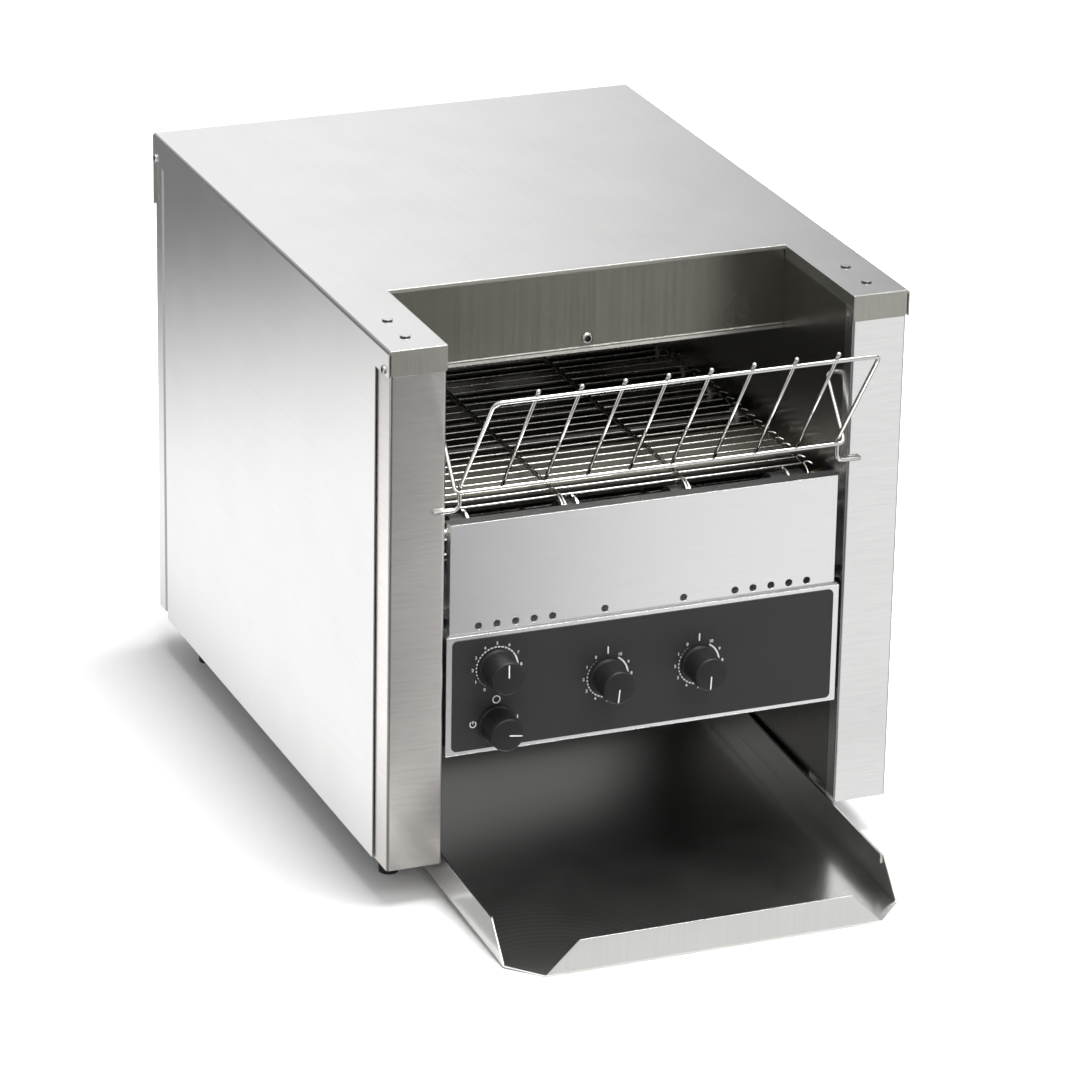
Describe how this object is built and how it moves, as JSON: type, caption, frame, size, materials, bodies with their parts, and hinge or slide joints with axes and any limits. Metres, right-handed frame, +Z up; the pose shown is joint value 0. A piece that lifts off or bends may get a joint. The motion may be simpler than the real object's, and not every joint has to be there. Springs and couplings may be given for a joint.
{
  "type": "conveyor toaster",
  "caption": "Countertop conveyor toaster: steel case open at the front, wire belt between heaters, feed rack, dials, and a sloped tray that catches the toast.",
  "frame": {"origin": "middle of the box's base, on the surface that the toaster stands on", "axes": "+Z up, +Y from the front to the back, +X to the right as seen from the front"},
  "size_m": [0.474, 0.7994, 0.506],
  "materials": {
    "cover_steel": "brushed, satin",
    "pillar_steel": "brushed across, satin",
    "hood_steel": "brushed upright, heat-tinted",
    "liner_steel": "rolled, heat-tinted",
    "panel_steel": "brushed, satin",
    "overlay_film": "matt printed film",
    "knob_plastic": "fine-grained, white pointer line",
    "tray_steel": "smooth, reflective",
    "belt_steel": "drawn wire, lightly straw-tinted",
    "rack_wire": "polished round wire",
    "shaft_steel": "ground",
    "disc_steel": "rolled",
    "hub_black": "satin",
    "sprocket_steel": "oiled, dark",
    "chain_steel": "oiled, dark",
    "element_sheath": "oxidised",
    "insulator": "unglazed ceramic",
    "bush_bronze": "sintered",
    "galvanised": "galvanised, faint spangle",
    "motor_black": "satin",
    "fan_plastic": "moulded",
    "unit_plastic": "moulded",
    "unit_ivory": "moulded",
    "circuit_board": "lacquered board",
    "gland_plastic": "moulded",
    "foot_rubber": "moulded, satin",
    "screw_steel": "zinc plated"
  },
  "bodies": {
    "root": {"outer_cover": "cover_steel", "left_pillar": "pillar_steel", "right_pillar": "pillar_steel", "base_pan": "galvanised", "rear_panel": "cover_steel", "left_inner_wall": "liner_steel", "right_inner_wall": "liner_steel", "hood_panel": "hood_steel", "front_deflector": "panel_steel", "control_frame": "panel_steel", "control_overlay": "overlay_film", "control_box": "galvanised", "heat_shield": "galvanised", "belt_baffle": "liner_steel", "lower_reflector": "liner_steel", "upper_reflector": "liner_steel", "upper_elements": "element_sheath", "lower_elements": "element_sheath", "element_insulators": "insulator", "shaft_bearings": "bush_bronze", "conveyor_belt": "belt_steel", "drive_chain": "chain_steel", "gear_motor": "motor_black", "fan_frame": "fan_plastic", "speed_control": "circuit_board", "mode_switch": "unit_plastic", "top_heat_regulator": "unit_ivory", "bottom_heat_regulator": "unit_ivory", "terminal_block": "unit_ivory", "cord_gland": "gland_plastic", "toast_slide": "tray_steel", "tray_runners": "galvanised", "feet": "foot_rubber", "cover_screws": "screw_steel", "arm_buttons": "screw_steel", "hood_screw": "screw_steel"},
    "drive": {"drive_shaft": "shaft_steel", "drive_discs": "disc_steel", "drive_hubs": "hub_black", "shaft_sprocket": "sprocket_steel"},
    "idler": {"idler_shaft": "shaft_steel", "idler_discs": "disc_steel", "idler_hubs": "hub_black"},
    "motor_output": {"motor_shaft": "shaft_steel", "motor_sprocket": "sprocket_steel"},
    "fan": {"fan_rotor": "fan_plastic"},
    "speed_dial": {"speed_spindle": "shaft_steel", "speed_knob": "knob_plastic"},
    "mode_dial": {"mode_spindle": "shaft_steel", "mode_knob": "knob_plastic"},
    "top_heat_dial": {"top_heat_spindle": "shaft_steel", "top_heat_knob": "knob_plastic"},
    "bottom_heat_dial": {"bottom_heat_spindle": "shaft_steel", "bottom_heat_knob": "knob_plastic"},
    "tray": {"toast_tray": "tray_steel"},
    "rack": {"feed_rack": "rack_wire"}
  },
  "joints": [
    {"name": "drive_spin", "type": "hinge", "parent": "root", "child": "drive", "pos_m": [0, -0.17133, 0.31067], "axis": [-1, 0, 0], "continuous": true},
    {"name": "idler_spin", "type": "hinge", "parent": "root", "child": "idler", "pos_m": [0, 0.28587, 0.31067], "axis": [-1, 0, 0], "continuous": true},
    {"name": "motor_spin", "type": "hinge", "parent": "root", "child": "motor_output", "pos_m": [0.205, -0.13833, 0.185], "axis": [-1, 0, 0], "continuous": true},
    {"name": "fan_spin", "type": "hinge", "parent": "root", "child": "fan", "pos_m": [0, 0.28187, 0.05], "axis": [0, 0, 1], "continuous": true},
    {"name": "speed_turn", "type": "hinge", "parent": "root", "child": "speed_dial", "pos_m": [-0.1353, -0.23333, 0.2095], "axis": [0, -1, 0], "range_deg": [-150, 150]},
    {"name": "mode_turn", "type": "hinge", "parent": "root", "child": "mode_dial", "pos_m": [-0.1353, -0.23333, 0.158], "axis": [0, -1, 0], "range_deg": [0, 188]},
    {"name": "top_heat_turn", "type": "hinge", "parent": "root", "child": "top_heat_dial", "pos_m": [-0.034, -0.23333, 0.1865], "axis": [0, -1, 0], "range_deg": [-174, 156]},
    {"name": "bottom_heat_turn", "type": "hinge", "parent": "root", "child": "bottom_heat_dial", "pos_m": [0.0505, -0.23333, 0.1865], "axis": [0, -1, 0], "range_deg": [-177, 153]},
    {"name": "tray_slide", "type": "slide", "parent": "root", "child": "tray", "axis": [0, -1, 0], "range_m": [0, 0.23]},
    {"name": "rack_tilt", "type": "hinge", "parent": "root", "child": "rack", "pos_m": [0, -0.19783, 0.424], "axis": [-1, 0, 0], "range_deg": [0, 90]}
  ],
  "couplings": [
    {"joint": "idler_spin", "follows": "drive_spin", "ratio": 1},
    {"joint": "motor_spin", "follows": "drive_spin", "ratio": 1.5}
  ]
}
